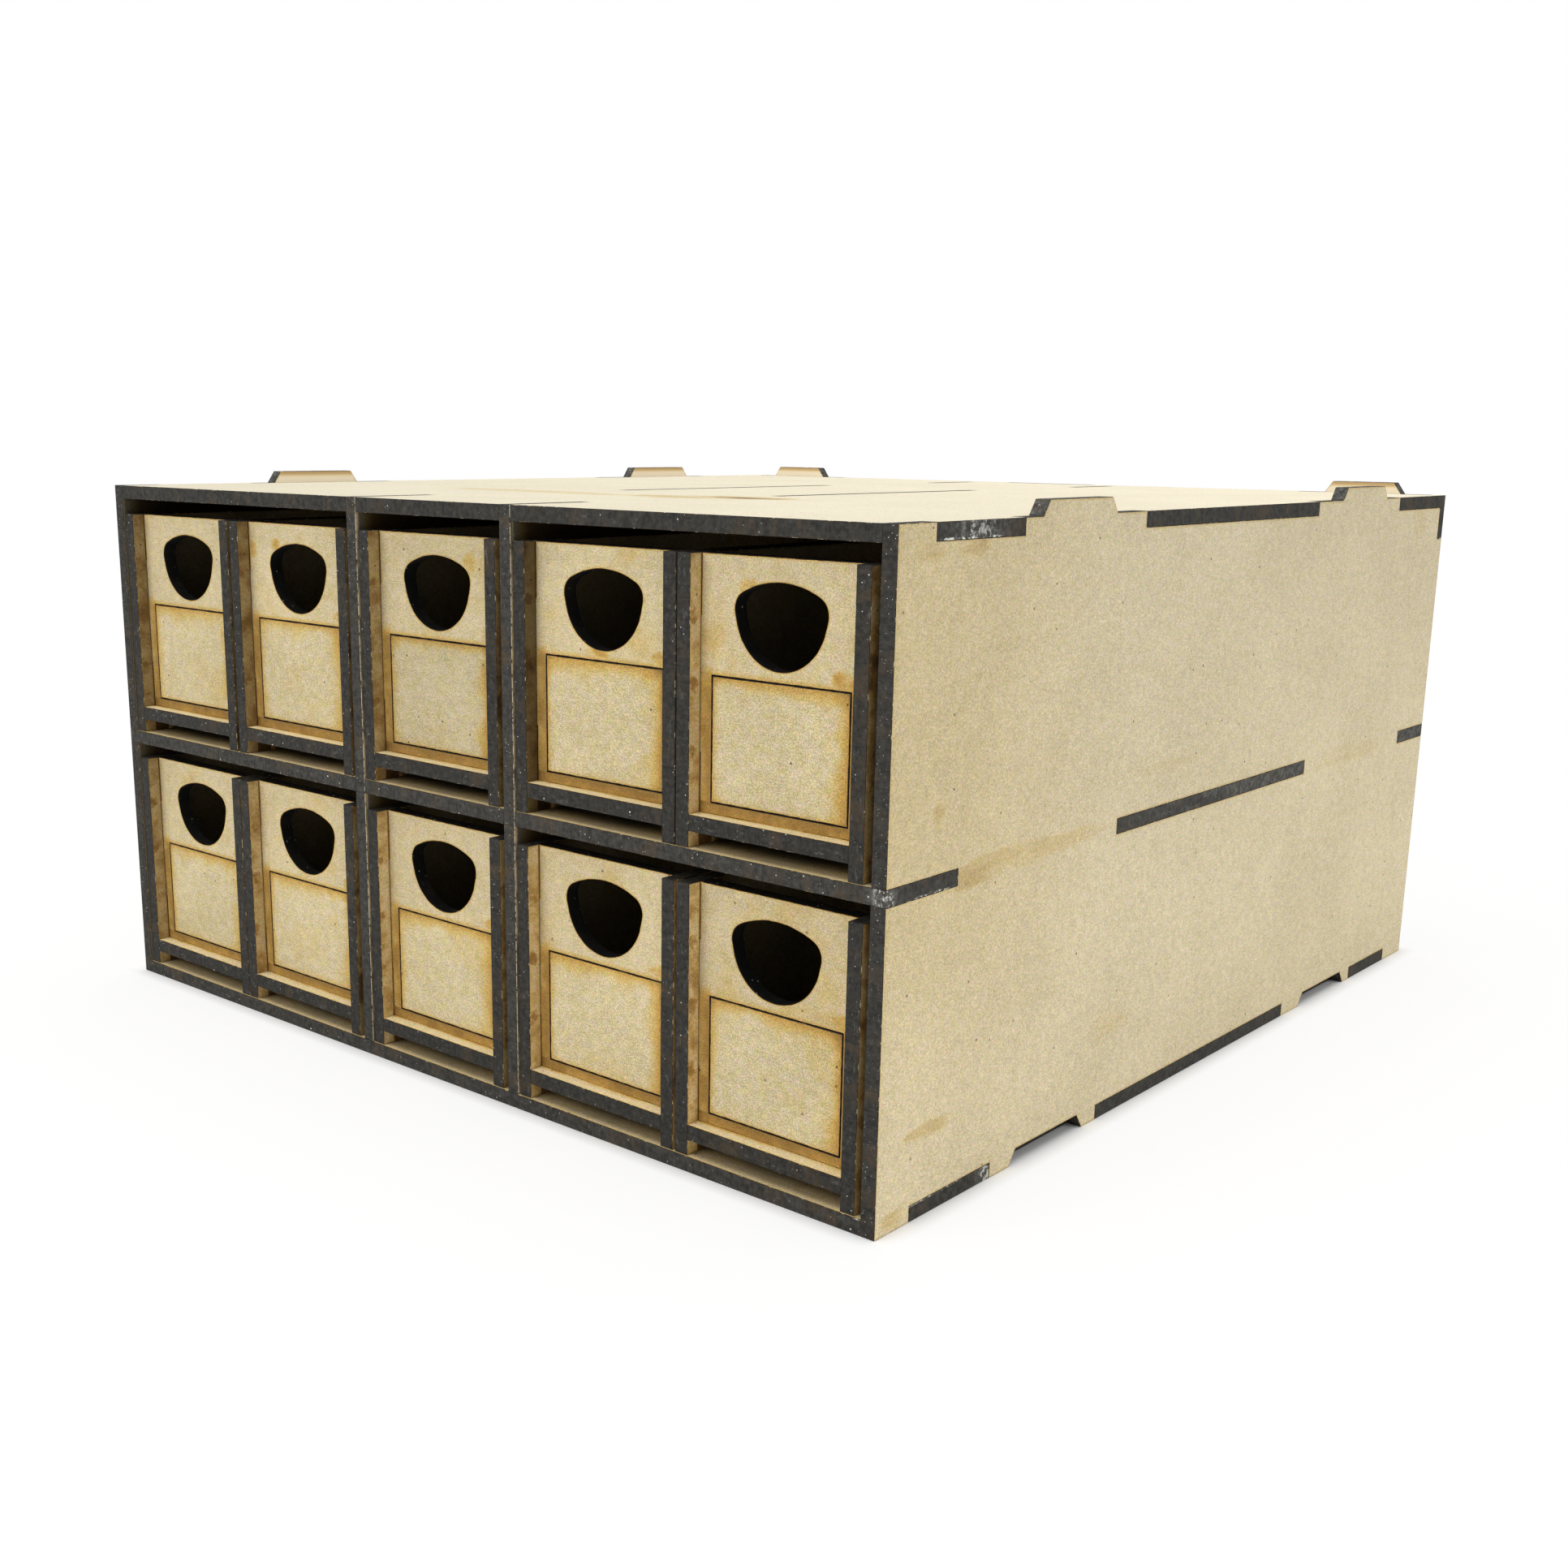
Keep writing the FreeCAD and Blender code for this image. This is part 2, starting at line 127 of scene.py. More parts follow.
class Finish:
    """The nodes of one material, or of the light all round, built up from short calls."""

    def __init__(self, owner):
        owner.use_nodes = True
        self.tree = owner.node_tree

    def feed(self, socket, value):
        if isinstance(value, bpy.types.NodeSocket):
            self.tree.links.new(value, socket)
        else:
            socket.default_value = value

    def node(self, kind, inputs, **settings):
        node = self.tree.nodes.new("ShaderNode" + kind)
        for name, value in settings.items():
            setattr(node, name, value)
        for name, value in inputs.items():
            self.feed(node.inputs[name], value)
        return node

    def calc(self, operation, *values):
        return self.node("Math", dict(enumerate(values)), operation=operation).outputs[0]

    def times(self, first, *others):
        """The product of them all."""
        for other in others:
            first = self.calc("MULTIPLY", first, other)
        return first

    def most(self, first, *others):
        """The largest of them all."""
        for other in others:
            first = self.calc("MAXIMUM", first, other)
        return first

    def off(self, value, middle):
        """How far a value is from the middle, on either side."""
        return self.calc("ABSOLUTE", self.calc("SUBTRACT", value, middle))

    def below(self, value, limit):
        return self.calc("LESS_THAN", value, limit)

    def above(self, value, limit):
        return self.calc("GREATER_THAN", value, limit)

    def ramp(self, value, low, high, least=0.0, most=1.0):
        """Eases from least to most as the value goes from low to high."""
        inputs = {"Value": value, "From Min": low, "From Max": high, "To Min": least, "To Max": most}
        return self.node("MapRange", inputs, interpolation_type="SMOOTHSTEP").outputs["Result"]

    def blend(self, first, second, share, kind="MIX"):
        node = self.tree.nodes.new("ShaderNodeMix")
        node.data_type = "RGBA"
        node.blend_type = kind
        factor, first_colour, second_colour = node.inputs[0], node.inputs[6], node.inputs[7]
        self.feed(factor, share)
        self.feed(first_colour, first)
        self.feed(second_colour, second)
        return node.outputs[2]

    def tinted(self, colour, tint, share=1.0):
        """The colour times a tint, or part of the way there."""
        return self.blend(colour, tint, share, "MULTIPLY")

    def noise(self, at, scale, detail=3.0, roughness=0.55):
        inputs = {"Vector": at, "Scale": scale, "Detail": detail, "Roughness": roughness}
        return self.node("TexNoise", inputs).outputs["Fac"]

    def patchy(self, at, scale, detail, roughness, least, most):
        """Soft patches that run evenly from least to most."""
        return self.ramp(self.noise(at, scale, detail, roughness), 0.3, 0.7, least, most)

    def stretch(self, at, scale, turn=(0.0, 0.0, 0.0)):
        return self.node("Mapping", {"Vector": at, "Scale": scale, "Rotation": turn}).outputs[0]

    def scaled(self, vector, scale):
        return self.node("VectorMath", {0: vector, "Scale": scale}, operation="SCALE").outputs[0]

    def specks(self, at, scale, size, share, across="3D"):
        """Small dots, one in some of the cells of a random pattern."""
        cells = self.node("TexVoronoi", {"Vector": at, "Scale": scale}, voronoi_dimensions=across)
        near = self.ramp(cells.outputs["Distance"], size, 0.6 * size)
        lucky = self.node("SeparateColor", {"Color": cells.outputs["Color"]}).outputs[0]
        return self.times(near, self.below(lucky, share))

    def attribute(self, name, output="Fac"):
        return self.node("Attribute", {}, attribute_name=name).outputs[output]

    def apart(self, vector):
        return self.node("SeparateXYZ", {"Vector": vector}).outputs

    def place(self):
        """Where a point is in its drawer, in mm: across from its middle, in from its front, and up."""
        return self.apart(self.attribute("place", "Vector"))


def srgb(red, green, blue):
    """A colour as it is read from a screen, in the light that it stands for."""
    levels = [value / 255 for value in (red, green, blue)]
    return [v / 12.92 if v <= 0.04045 else ((v + 0.055) / 1.055) ** 2.4 for v in levels] + [1.0]


WARM_FIBRE = (1.050, 0.985, 1.04, 1.0)
COOL_FIBRE = (0.950, 1.015, 0.96, 1.0)
PALE_HAIR = (1.14, 1.13, 1.08, 1.0)
DARK_HAIR = (0.80, 0.73, 0.63, 1.0)
BROWN_FLECK = (128, 100, 66)
BLACK_FLECK = (58, 48, 38)
HIGHLIGHT_CREAM = (234, 222, 198)
DARKER = -30
LIGHTER = 26
TONE_STEP = 0.12


def felted_face(finish, at, tan, grain, tone, painted_highlight):
    """The face: soft clouds, a felt of fine fibres, darker and lighter hairs, and a few flecks."""
    clouds = finish.patchy(at, 0.04, 3, 0.55, -0.16, 0.16)
    mottle = finish.patchy(at, 0.5, 3, 0.7, -0.22, 0.22)
    felt = finish.patchy(at, 1.9, 2, 0.6, -0.26, 0.26)
    fuzz = finish.patchy(at, 4.3, 1, 0.5, -0.62, 0.62)
    share = finish.calc("ADD", finish.calc("ADD", clouds, mottle), finish.calc("ADD", felt, fuzz))
    share = finish.calc("MULTIPLY_ADD", share, grain, 0.5)
    dark, light = [srgb(*[value + step for value in tan]) for step in (DARKER, LIGHTER)]
    face = finish.blend(dark, light, share)
    hue = finish.ramp(finish.noise(at, 1.3, 2, 0.6), 0.34, 0.66)
    face = finish.tinted(face, finish.blend(COOL_FIBRE, WARM_FIBRE, hue))
    gilt = finish.ramp(finish.noise(at, 0.6, 3, 0.7), 0.36, 0.64)
    yellow, grey = (1.0, 1.0, 1.0 - 0.22 * grain, 1.0), (1.01, 1.0, 1.0 + 0.18 * grain, 1.0)
    face = finish.tinted(face, finish.blend(yellow, grey, gilt))
    for turn in (0.3, 1.5, 2.7):
        for shape, lean, low, hair in (
            ((0.5, 2.8, 1.0), 0.0, 0.64, PALE_HAIR),
            ((0.4, 3.3, 1.0), 0.7, 0.66, DARK_HAIR),
        ):
            across = finish.stretch(at, shape, (0.0, 0.0, turn + lean))
            hairs = finish.ramp(finish.noise(across, 0.9, 1, 0.5), low, low + 0.12, 0.0, 0.75 * grain)
            face = finish.tinted(face, hair, hairs)
    for scale, size, share, colour in ((0.13, 0.04, 0.12, BROWN_FLECK), (0.09, 0.026, 0.14, BLACK_FLECK)):
        flecks = finish.specks(at, scale, size, share, "2D")
        face = finish.blend(face, srgb(*colour), finish.times(flecks, 0.8))
    face = finish.scaled(face, finish.calc("MULTIPLY_ADD", tone, TONE_STEP, 1.0))
    # Painted highlight: a pale cream where the face catches bright light.
    if painted_highlight:
        face = finish.blend(face, srgb(*HIGHLIGHT_CREAM), painted_highlight(finish, at))
    return face, felt


GOLD_SMOKE = ((0.25, (0.95, 0.83, 0.52)), (0.50, (0.86, 0.63, 0.27)), (0.75, (0.58, 0.41, 0.18)))
BROWN_SMOKE = (
    (0.12, (0.95, 0.89, 0.74)),
    (0.25, (0.85, 0.76, 0.57)),
    (0.50, (0.68, 0.55, 0.36)),
    (0.75, (0.50, 0.36, 0.20)),
)
CLEAN = (1.0, 1.0, 1.0, 1.0)
BURNT_THROUGH = (0.08, 0.05, 0.03, 1.0)
PAINTED_SHADE_GREY = (0.13, 0.13, 0.13, 1.0)


def smoked(finish, at, smoke, rim, kerf, scorch_and_shade):
    """Burnt resin: yellow at its fading edge, then brown, and nearly black where the beam stood."""
    outline = finish.attribute("rim")
    halo = finish.times(finish.calc("POWER", outline, 2.0), 0.75)
    burn = finish.most(halo, finish.times(finish.calc("POWER", outline, 6.0), kerf))
    burn = finish.times(burn, finish.patchy(at, 0.5, 2, 0.55, 0.5 * rim, 1.3 * rim))
    # On the dividers and inside the case the scorch also carries painted shade, in these same colours.
    if scorch_and_shade:
        burn = finish.most(burn, scorch_and_shade(finish, at))
    tint = finish.node("ValToRGB", {"Fac": burn})
    stops = tint.color_ramp.elements
    stops[0].color = CLEAN
    stops[1].color = BURNT_THROUGH
    for place, colour in smoke:
        stops.new(place).color = colour + (1.0,)
    return tint.outputs["Color"]


COAL = (31, 31, 29)
ASH = (60, 58, 54)
BROWN_CHAR = (84, 68, 48)
GREY_DUST = (140, 139, 134)
WHITE_FLAKE = (226, 224, 214)
WHITE_SPECK = (236, 234, 226)
BARE_CORNER = (42, 36, 30)


def charred_edge(finish, at, char, dusty, specks):
    """The cut edge: char with brown streaks, faint ridges left by the beam, and pale dust."""
    ridges = finish.patchy(finish.stretch(at, (2.4, 2.4, 0.2)), 1.0, 2, 0.6, 0.0, 1.0)
    woolly = finish.patchy(at, 0.9, 3, 0.7, 0.0, 1.0)
    depth = finish.calc("MULTIPLY_ADD", ridges, 0.25, finish.times(woolly, 0.75))
    coal, ash = [srgb(*[char * value for value in shade]) for shade in (COAL, ASH)]
    edge = finish.blend(coal, ash, depth)
    brown = finish.noise(finish.stretch(at, (1.0, 1.0, 0.5)), 0.22, 3, 0.65)
    edge = finish.blend(edge, srgb(*BROWN_CHAR), finish.ramp(brown, 0.5, 0.72, 0.0, 0.4 * char))
    grey = finish.noise(finish.stretch(at, (1.0, 1.0, 2.0)), 0.5, 4, 0.7)
    smear = finish.ramp(grey, 0.55, 0.8, 0.0, 0.35)
    if dusty:
        dust = dusty(finish, at)
        broken = finish.ramp(finish.noise(at, 0.8, 4, 0.75), 0.42, 0.66, 0.1, 1.0)
        smear = finish.times(finish.calc("MULTIPLY_ADD", dust, 0.5, smear), broken)
    edge = finish.blend(edge, srgb(*GREY_DUST), finish.times(smear, char))
    if dusty:
        flakes = finish.ramp(finish.noise(at, 0.7, 4, 0.7), 0.50, 0.57)
        flakes = finish.times(flakes, finish.ramp(dust, 0.6, 1.0))
        edge = finish.blend(edge, srgb(*WHITE_FLAKE), flakes)
    patches = finish.ramp(finish.noise(at, 0.06, 2), 0.42, 0.6, 0.2, 1.0)
    for scale, size, share in ((0.5, 0.10, 1.0), (0.9, 0.13, 0.5), (1.7, 0.14, 0.35)):
        dots = finish.specks(at, scale, size, share * specks)
        edge = finish.blend(edge, srgb(*WHITE_SPECK), finish.times(dots, patches))
    return edge, ridges


def laser_cut_board(
    name,
    along,
    tan,
    scorch_and_shade=None,
    painted_shade=None,
    dusty=None,
    painted_highlight=None,
    toned=None,
    smoke=GOLD_SMOKE,
    rim=0.5,
    kerf=1.0,
    grain=0.5,
    char=1.0,
    arris=0.35,
    pale=(186, 170, 134),
    specks=0.2,
):
    """Fibreboard of one tan, cut by laser. Along is the axis that its thickness lies on.

    Scorch and shade, painted shade, dusty, painted highlight and toned are functions that say how much of
    each a point gets, from 0, for none, to 1, and smoke holds the colours of the scorch and shade. Painted
    shade darkens the face towards grey where it lies in shade, and painted highlight makes it pale cream
    where bright light falls. Rim and kerf are the strength of the burnt outline, grain that of the fibres,
    char the paleness of the cut edge, arris how much of its corners shows the pale board, and specks how many
    white specks lie on it.
    """
    material = bpy.data.materials.new(name)
    finish = Finish(material)
    at = finish.scaled(finish.node("TexCoord", {}).outputs["Object"], 1.0 / MILLIMETRE)
    x, y, z = finish.apart(at)
    order = {"x": (y, z, x), "y": (x, z, y), "z": (x, y, z)}[along]
    at = finish.node("CombineXYZ", dict(enumerate(order))).outputs[0]
    normal = finish.node("NewGeometry", {}).outputs["True Normal"]
    facing = finish.calc("ABSOLUTE", finish.apart(normal)[AXES[along]])
    tone = finish.attribute("tone")
    if toned:
        tone = finish.times(tone, toned(finish))

    face, felt = felted_face(finish, at, tan, grain, tone, painted_highlight)
    face = finish.tinted(face, smoked(finish, at, smoke, rim, kerf, scorch_and_shade))
    # Painted shade: a grey that darkens the face where it lies in shade inside the box.
    if painted_shade:
        face = finish.tinted(face, PAINTED_SHADE_GREY, painted_shade(finish, at))
    edge, ridges = charred_edge(finish, at, char, dusty, specks)

    # The arris between them shows the pale board in broken lines.
    chips = finish.ramp(finish.noise(at, 0.7, 4, 0.7), 0.66 - 0.3 * arris, 0.76 - 0.3 * arris)
    corner = finish.blend(srgb(*BARE_CORNER), srgb(*pale), chips)
    colour = finish.blend(edge, corner, finish.ramp(facing, 0.35, 0.45))
    colour = finish.blend(colour, face, finish.ramp(facing, 0.85, 0.95))
    shader = finish.tree.nodes["Principled BSDF"]
    finish.feed(shader.inputs["Base Color"], colour)
    shader.inputs["Roughness"].default_value = 0.7
    shader.inputs["Specular IOR Level"].default_value = 0.2
    height = finish.calc("MULTIPLY_ADD", ridges, 0.4, finish.times(felt, 0.6))
    bump = finish.node("Bump", {"Height": height, "Strength": 0.35, "Distance": 0.1 * MILLIMETRE})
    finish.feed(shader.inputs["Normal"], bump.outputs["Normal"])
    return material


def oval(finish, first, second, middle, reach, ragged):
    """How far a point is from an oval patch: 0 at its middle and about 1 at its ragged outline."""
    right = finish.calc("DIVIDE", finish.calc("SUBTRACT", first, middle[0]), reach[0])
    up = finish.calc("DIVIDE", finish.calc("SUBTRACT", second, middle[1]), reach[1])
    squares = finish.calc("MULTIPLY_ADD", right, right, finish.times(up, up))
    return finish.calc("ADD", squares, ragged)


def marked_with(finish, first, second, ragged, fade, oval_marks, ground=0.0):
    """The strongest of several oval marks on a face, each with its middle, its reach and its strength."""
    for middle, reach, strength in oval_marks:
        far = oval(finish, first, second, middle, reach, ragged)
        ground = finish.most(ground, finish.ramp(far, *fade, 0.0, strength))
    return ground


# From here on, places and sizes are in millimetres, as the materials read them. A test for one face of
# a sheet has some slack, so that rounding can't put a point on its wrong side.
SHEET = 3.0
SLACK = 0.5
FRONT = cad_box[0].y / MILLIMETRE
TAB_TOP = cad_box[1].z / MILLIMETRE
TAB_HEIGHT = 2.8
TOP_FACE = TAB_TOP - TAB_HEIGHT
UNDER_TOP = TOP_FACE - SHEET
OUTER_FACE = cad_box[1].x / MILLIMETRE
INNER_FACE = OUTER_FACE - SHEET


def case_shade_fade(finish, y):
    """How the painted shade inside the case fades from the front to the back."""
    return finish.ramp(y, -60.0, 0.0, 1.0, 0.2)


def left_inner_face(finish, x):
    """1 on the inner face of the left side, whose tabs show above the top plate."""
    return finish.below(finish.off(x, -INNER_FACE), 2 * SLACK)


def tab_gold(finish, z):
    """Gold along the tops of the stacking tabs, as the smoke left it."""
    return finish.ramp(z, TAB_TOP - 1.6, TAB_TOP - 0.3, 0.0, 0.62)


def side_scorch_and_shade(finish, at):
    """Faint stains on the right outer face, gold on the left tabs, and painted brown shade inside the case.
    """
    y, z, x = finish.apart(at)
    ragged = finish.patchy(finish.stretch(at, (0.2, 1.3, 1.0)), 0.45, 3, 0.6, -0.3, 0.5)
    beside_shelf = (
        ((-93.0, 58.8), (11.0, 2.7), 0.27),
        ((-84.0, 59.8), (14.0, 2.2), 0.18),
        ((-70.0, 59.4), (28.0, 2.4), 0.14),
        ((70.0, 58.6), (24.0, 2.4), 0.09),
        ((-22.0, 68.2), (16.0, 1.8), 0.06),
        ((-103.1, 70.4), (2.0, 3.0), 0.22),
    )
    under_tabs = (
        ((-107.9, 113.6), (4.5, 1.8), 0.14),
        ((-95.0, 113.6), (5.0, 2.0), 0.20),
        ((-93.4, 114.3), (1.8, 1.0), 0.34),
        ((101.0, 112.0), (5.0, 5.0), 0.08),
    )
    near_foot = (
        ((-103.2, 15.8), (7.0, 2.0), 0.29),
        ((-40.0, 19.0), (9.0, 4.0), 0.07),
        ((-111.8, 2.4), (4.2, 1.8), 0.27),
    )
    oval_marks = marked_with(finish, y, z, ragged, (1.25, -0.1), beside_shelf + under_tabs + near_foot)
    warm = finish.ramp(y, -30.0, FRONT, 0.0, 0.09)
    warm = finish.calc("ADD", warm, finish.ramp(y, FRONT + 2.0, FRONT, 0.0, 0.07))
    warm = finish.times(warm, finish.ramp(z, 5.0, 60.0, 0.25, 1.0))
    right = finish.times(finish.calc("ADD", oval_marks, warm), finish.above(x, 0.0))
    left = left_inner_face(finish, x)
    tips = finish.times(tab_gold(finish, z), left)
    # Painted shade: the left inner face grows darker deeper into the case, below the top plate.
    painted_gap_shade = finish.times(finish.ramp(y, FRONT + 1.0, FRONT + 5.0, 0.0, 0.8), case_shade_fade(finish, y))
    return finish.most(right, tips, finish.times(left, finish.below(z, UNDER_TOP), painted_gap_shade))


def side_painted_shade(finish, at):
    """Painted shade on the inner faces, deeper than the front edge and below the top plate."""
    y, z, x = finish.apart(at)
    inner = finish.below(finish.calc("ABSOLUTE", x), INNER_FACE + SLACK)
    inner = finish.times(inner, finish.below(z, UNDER_TOP), finish.ramp(y, FRONT, FRONT + 0.8, 0.75, 1.0))
    return finish.times(inner, case_shade_fade(finish, y))


def tab_dust(finish, at):
    """Pale dust on the ends of the stacking tabs."""
    return finish.ramp(finish.apart(at)[1], TOP_FACE, TOP_FACE + 0.4, 0.0, 0.65)


def tab_painted_highlight(finish, at):
    """Painted highlight: a pale cream on the faces of the tabs on the far side."""
    z, x = finish.apart(at)[1], finish.apart(at)[2]
    return finish.times(left_inner_face(finish, x), finish.ramp(z, TOP_FACE - 1.0, TOP_FACE + 0.2))


side_board = laser_cut_board(
    "Side board",
    "x",
    (207, 194, 162),
    side_scorch_and_shade,
    side_painted_shade,
    tab_dust,
    tab_painted_highlight,
    smoke=BROWN_SMOKE,
    rim=0.4,
    grain=0.42,
    char=1.08,
    specks=0.36,
)
for hand in ("left", "right"):
    node, name = "side_" + hand, "Side_" + hand
    # The tone and its slope paint light: each side is lighter towards the bottom.
    cut_sheet(node, name, "x", "case", side_board, tone=1.2, slope=(0, 0, -1.6))

# The top plate lies over both rows, tabbed through the sides and the back, and the dividers' tenons
# come up through its slots. It is the palest face. Its front right tab is smeared with pale dust.

RIGHT_TAB_MIDDLE = -94.5


def top_brown_mark(finish, at):
    """A long faint brown mark across the middle."""
    x, y = finish.apart(at)[0], finish.apart(at)[1]
    ragged = finish.patchy(at, 0.12, 3, 0.6, -0.3, 0.4)
    oval_marks = (
        ((-26.0, -61.5), (40.0, 6.0), 0.20),
        ((14.0, -60.0), (16.0, 7.0), 0.30),
        ((27.0, -51.0), (14.0, 7.0), 0.40),
        ((27.0, -53.5), (17.0, 3.2), 0.90),
    )
    return marked_with(finish, x, y, ragged, (1.2, 0.0), oval_marks)


def top_painted_shade(finish, at):
    """Painted shade on the under side."""
    x, y, z = finish.apart(at)
    under = finish.times(finish.below(z, TOP_FACE - SHEET / 2), finish.ramp(y, FRONT + 1.0, FRONT + 4.0))
    return finish.times(under, case_shade_fade(finish, y))


def top_dust(finish, at):
    """Pale dust on the end of the front right tab."""
    x, y, z = finish.apart(at)
    end = finish.above(x, OUTER_FACE - SLACK)
    middle = finish.ramp(finish.off(y, RIGHT_TAB_MIDDLE), 14.0, 2.0, 0.0, 0.79)
    foot = finish.ramp(z, UNDER_TOP + 0.7, UNDER_TOP + 0.3)
    foot = finish.times(foot, finish.ramp(y, -84.0, -90.0))
    return finish.times(end, finish.most(middle, foot))


top_board = laser_cut_board(
    "Top board",
    "z",
    (212, 204, 181),
    top_brown_mark,
    top_painted_shade,
    top_dust,
    smoke=BROWN_SMOKE,
    rim=0.1,
    grain=0.25,
    char=1.08,
    specks=0.1,
)
# The tone's slope paints a sheen: the top is lighter towards the right and the rear.
cut_sheet("top_panel", "Top", "z", "case", top_board, tone=-0.65, slope=(0.6, 1.0, 0))

# The shelf between the rows and the bottom plate are tabbed through the sides and the back. Their
# upper faces show as tan strips below the drawers, and their charred front edges are full of pale dust.

SHELF_TAB_MIDDLE = -102.0
BOTTOM_TAB_MIDDLE = -83.0
SHELF_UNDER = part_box("middle_shelf")[0].z / MILLIMETRE


def plate_painted_shade(finish, at):
    """Painted shade on a plate, further in than its front edge."""
    y = finish.apart(at)[1]
    near = finish.ramp(y, FRONT + 0.4, FRONT + 2.5, 0.0, 0.5)
    deeper = finish.calc("ADD", near, finish.ramp(y, FRONT + 2.5, FRONT + 9.0, 0.0, 0.5))
    return finish.times(deeper, case_shade_fade(finish, y))


def plate_dust(finish, at):
    """Pale dust at the front right corner and along the ends of the tabs on the right."""
    x, y, z = finish.apart(at)
    shelf = finish.above(z, SHELF_UNDER / 2)
    corner = finish.times(finish.ramp(x, 106.0, 110.0, 0.0, 0.85), finish.ramp(y, FRONT + 5.5, FRONT + 1.0))
    ragged = finish.times(finish.patchy(at, 0.6, 3, 0.6, -0.5, 0.5), 0.3)
    foot = finish.ramp(finish.calc("ADD", z, ragged), SHELF_UNDER + 0.7, SHELF_UNDER + 0.1)
    foot = finish.times(foot, finish.ramp(finish.off(y, SHELF_TAB_MIDDLE), 9.0, 6.0))
    grey = finish.noise(finish.stretch(at, (1.0, 0.3, 1.0)), 0.2, 3, 0.6)
    grey = finish.times(finish.ramp(grey, 0.36, 0.56, 0.0, 0.6), finish.ramp(y, -50.0, -10.0))
    near = finish.times(shelf, finish.most(grey, corner, foot))
    rear = finish.ramp(finish.off(y, BOTTOM_TAB_MIDDLE), 6.0, 1.0, 0.0, 0.85)
    head = finish.times(finish.ramp(z, SHEET - 0.5, SHEET - 0.1), finish.ramp(y, -88.0, -94.0))
    far = finish.times(finish.calc("SUBTRACT", 1.0, shelf), finish.most(rear, head))
    right = finish.above(x, INNER_FACE - SHEET / 2)
    return finish.times(right, finish.calc("ADD", near, far))


plate_board = laser_cut_board(
    "Plate board", "z", (206, 190, 152), painted_shade=plate_painted_shade, dusty=plate_dust, char=1.22, specks=0.4
)
cut_sheet("middle_shelf", "Shelf", "z", "case", plate_board)
cut_sheet("bottom_panel", "Bottom", "z", "case", plate_board)

# The back panel is a sheet like the sides, glued between them with its ears let into both. It has
# two stacking tabs on top.

BACK_INNER = cad_box[1].y / MILLIMETRE - SHEET


def back_scorch(finish, at):
    """Gold along the tops of the tabs, on the face towards the front."""
    z, y = finish.apart(at)[1], finish.apart(at)[2]
    return finish.times(finish.below(y, BACK_INNER + SHEET / 2), tab_gold(finish, z))


def back_painted_highlight(finish, at):
    """Painted highlight: a pale cream on the faces of the tabs, above the top plate."""
    z, y = finish.apart(at)[1], finish.apart(at)[2]
    inner = finish.below(y, BACK_INNER + SHEET / 2)
    return finish.times(inner, finish.ramp(z, TOP_FACE - 1.0, TOP_FACE + 0.2))


back_board = laser_cut_board(
    "Back board",
    "y",
    (207, 194, 162),
    back_scorch,
    None,
    tab_dust,
    back_painted_highlight,
    smoke=BROWN_SMOKE,
    rim=0.2,
    grain=0.42,
)
cut_sheet("back_panel", "Back", "y", "case", back_board, tone=-0.05)

# Four dividers of the same sheet part the drawers, their tenons glued in the plates and the back.
# Their front edges are charred, with a bright broken arris, and painted shade lies on both faces.


def divider_painted_gap_shade(finish, at):
    """Painted shade, darker still, where the faces run back between the drawers."""
    y = finish.apart(at)[0]
    return finish.times(finish.ramp(y, FRONT + 1.0, FRONT + 5.0, 0.0, 0.8), case_shade_fade(finish, y))


def divider_painted_shade(finish, at):
    """Painted shade on both faces, deeper than the front edge, broken by patches of pale board close to it.
    """
    y = finish.apart(at)[0]
    patches = finish.ramp(finish.noise(at, 0.09, 4, 0.65), 0.42, 0.62, 0.85, 0.1)
    patches = finish.times(patches, finish.ramp(y, FRONT + 0.9, FRONT + 0.6))
    patches = finish.most(patches, finish.ramp(y, FRONT, FRONT + 1.1, 0.0, 0.97))
    return finish.times(patches, case_shade_fade(finish, y))


def divider_dust(finish, at):
    """Pale dust on the tenons, in the top plate's slots."""
    y, z = finish.apart(at)[0], finish.apart(at)[1]
    deeper = finish.ramp(y, FRONT + 0.4, FRONT + 1.0, 0.0, 0.65)
    return finish.times(deeper, finish.ramp(z, TOP_FACE - 0.8, TOP_FACE - 0.4))


divider_board = laser_cut_board(
    "Divider board",
    "x",
    (204, 190, 162),
    divider_painted_gap_shade,
    divider_painted_shade,
    divider_dust,
    char=1.2,
    arris=0.82,
    pale=(208, 198, 176),
    specks=0.25,
)
for row in ("upper", "lower"):
    for hand in ("left", "right"):
        node, name = f"divider_{row}_{hand}", f"Divider_{row}_{hand}"
        cut_sheet(node, name, "x", "case", divider_board)

# Each drawer is a trough of five sheets. Its two walls are the runners on which it slides. Smoke
# has browned them, most on their outer faces and where the other sheets' tabs meet them. Painted
# shade darkens them behind the front sheet, and on their outer faces deeper in the gaps.

WALL_MIDDLE = 18.9
FRONT_SETBACK = 3.0
FRONT_BACK = FRONT_SETBACK + SHEET
# One tone for each drawer, from left to right, first the upper row.
WALL_TONES = (-4.3, -4.1, -3.0, -6.4, -0.6, -2.7, -1.2, 0.0, 0.3, 1.0)


def wall_lip(finish):
    """1 on the strip before the front sheet, which alone takes the tone of its drawer."""
    return finish.ramp(finish.place()[1], FRONT_BACK + 1.0, FRONT_BACK - 1.0)


def drawer_painted_shade(finish, depth):
    """Painted shade behind the front sheet, where the finger hole lets in little light. It fades towards the
    rear.
    """
    behind = finish.ramp(depth, FRONT_BACK - 0.5, FRONT_BACK + 2.0)
    return finish.times(behind, finish.ramp(depth, 28.0, 68.0, 0.9, 0.08))


